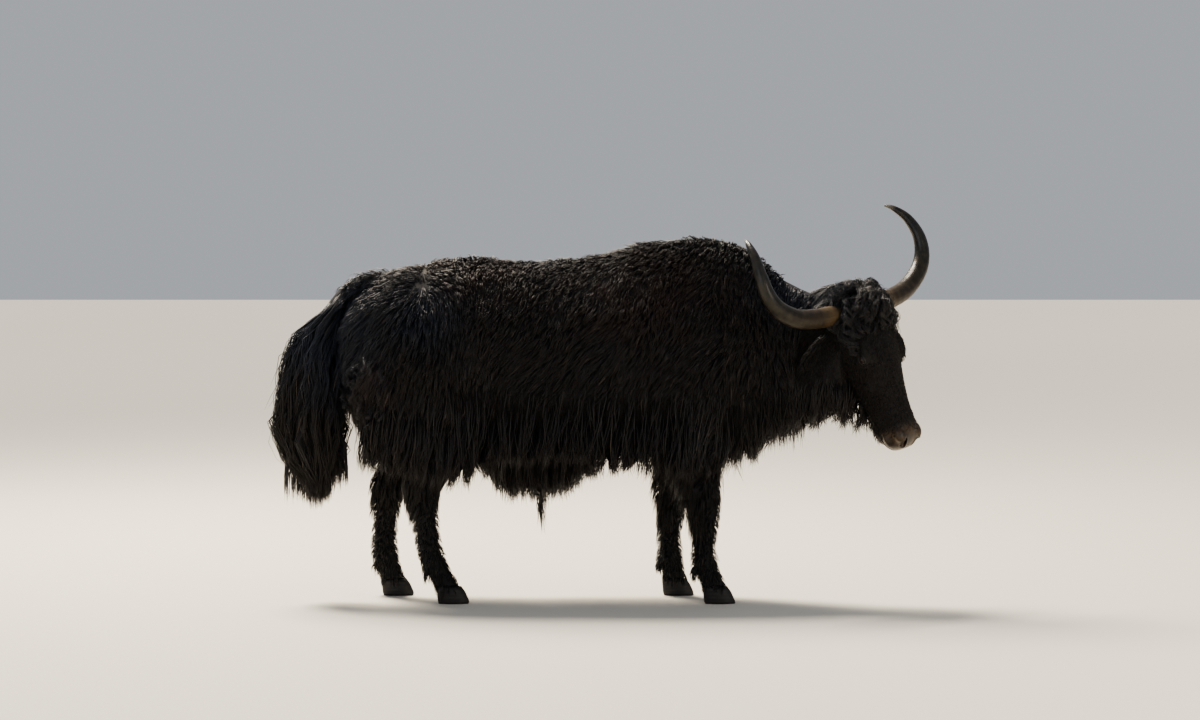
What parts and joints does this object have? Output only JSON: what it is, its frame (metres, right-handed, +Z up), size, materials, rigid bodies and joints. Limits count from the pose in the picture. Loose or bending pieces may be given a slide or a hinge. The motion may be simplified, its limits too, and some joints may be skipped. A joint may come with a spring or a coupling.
{
  "type": "yak",
  "caption": "Life-size still model of a long-coated yak bull standing with lowered, turned head, curved horns and a full brush of a tail.",
  "frame": {"origin": "on the ground, under the middle of the whole animal's box, with its hoofs' soles at z = 0", "axes": "+X ahead along the trunk, +Z up, -Y the yak's right side, to which its head is turned"},
  "size_m": [2.4635, 0.8126, 1.4717],
  "materials": {
    "coat": "long black outer hair with a soft blue-grey gloss and brown tips",
    "face_coat": "short dark brown face hair, golden grey-brown muzzle pad",
    "horn": "smooth horn, pale cream at its base, grey shaft and dark tip",
    "hoof": "dull dark grey-brown hoof horn",
    "eye": "wet dark brown eye"
  },
  "bodies": {
    "root": {"head": "face_coat", "neck": "coat", "tail": "coat", "shoulders": "coat", "barrel": "coat", "rump": "coat", "foreleg_right": "coat", "hindleg_right": "coat", "foreleg_left": "coat", "hindleg_left": "coat", "ear_right": "face_coat", "ear_left": "face_coat", "eye_right": "eye", "eye_left": "eye", "horn_right": "horn", "horn_left": "horn", "claw_fore_right_outer": "hoof", "claw_fore_right_inner": "hoof", "claw_fore_left_outer": "hoof", "claw_fore_left_inner": "hoof", "claw_hind_right_outer": "hoof", "claw_hind_right_inner": "hoof", "claw_hind_left_outer": "hoof", "claw_hind_left_inner": "hoof"}
  },
  "joints": []
}
